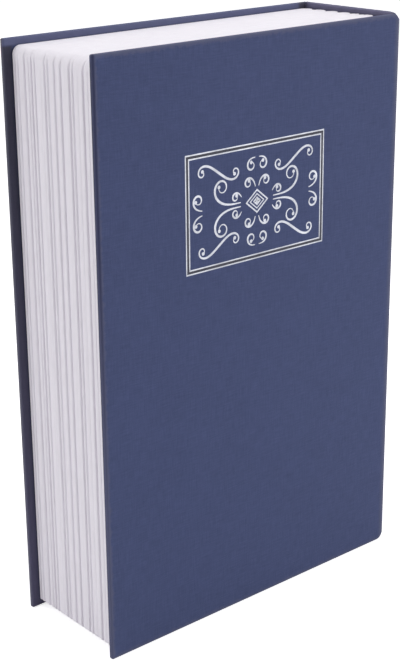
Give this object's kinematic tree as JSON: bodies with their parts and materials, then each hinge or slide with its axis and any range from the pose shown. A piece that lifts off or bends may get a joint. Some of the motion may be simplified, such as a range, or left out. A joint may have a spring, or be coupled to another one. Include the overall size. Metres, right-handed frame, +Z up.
{
  "type": "book diversion safe",
  "caption": "Cloth-covered case shaped like a hardback book: ribbed moulded page block round a hinged steel box with a cam lock, cover and spine on soft folds",
  "frame": {"origin": "centre of the base of the closed, standing book, where its tail edges rest", "axes": "+Z up to the head, -Y out of the front cover, +X to the spine"},
  "size_m": [0.161, 0.0576, 0.24],
  "materials": {
    "book_cloth": "fine matt book cloth, slate blue",
    "lining_cloth": "the same cloth, inner side",
    "greyboard": "raw greyboard",
    "endpaper": "smooth uncoated paper",
    "moulded_pages": "satin moulded plastic, ribbed like leaves",
    "painted_steel": "dark powder coat",
    "plated_steel": "bright zinc plate",
    "chrome_lock": "polished chrome plate",
    "felt": "black felt",
    "silver_foil": "hot-stamped silver foil line"
  },
  "bodies": {
    "case_back": {"back_board": "greyboard", "back_cloth": "book_cloth", "back_endpaper": "endpaper", "page_frame": "moulded_pages", "box_body": "painted_steel", "box_liner": "felt", "strike_plate": "plated_steel", "box_screw_1": "plated_steel", "box_screw_2": "plated_steel", "box_screw_3": "plated_steel", "box_screw_4": "plated_steel", "box_hinge_leaf": "plated_steel", "hinge_pin": "plated_steel", "box_rivet_1": "plated_steel", "box_rivet_2": "plated_steel", "box_rivet_3": "plated_steel", "box_rivet_4": "plated_steel"},
    "spine": {"spine_board": "greyboard", "spine_cloth": "book_cloth", "spine_lining": "lining_cloth"},
    "front_cover": {"front_board": "greyboard", "front_cloth": "book_cloth", "front_endpaper": "endpaper"},
    "lid": {"lid_panel": "painted_steel", "lid_hinge_leaf": "plated_steel", "lid_rivet_1": "plated_steel", "lid_rivet_2": "plated_steel", "lid_rivet_3": "plated_steel", "lid_rivet_4": "plated_steel", "lock_housing": "chrome_lock", "lock_washer": "plated_steel", "lock_nut": "plated_steel"},
    "lock": {"lock_plug": "chrome_lock", "lock_cam": "plated_steel", "cam_screw": "plated_steel"}
  },
  "joints": [
    {"name": "spine_fold", "type": "hinge", "parent": "case_back", "child": "spine", "pos_m": [0.0805, 0.02875, 0.12], "axis": [0, 0, 1], "range_deg": [0, 90]},
    {"name": "cover_fold", "type": "hinge", "parent": "spine", "child": "front_cover", "pos_m": [0.0794, -0.02765, 0.12], "axis": [0, 0, 1], "range_deg": [0, 180]},
    {"name": "lid_hinge", "type": "hinge", "parent": "case_back", "child": "lid", "pos_m": [0.0566, -0.02345, 0.12005], "axis": [0, 0, 1], "range_deg": [0, 108]},
    {"name": "lock_turn", "type": "hinge", "parent": "lid", "child": "lock", "pos_m": [-0.0453, -0.02475, 0.12005], "axis": [0, 1, 0], "range_deg": [0, 90]}
  ],
  "couplings": [
    {"joint": "lid_hinge", "follows": "cover_fold", "ratio": 0.6}
  ]
}
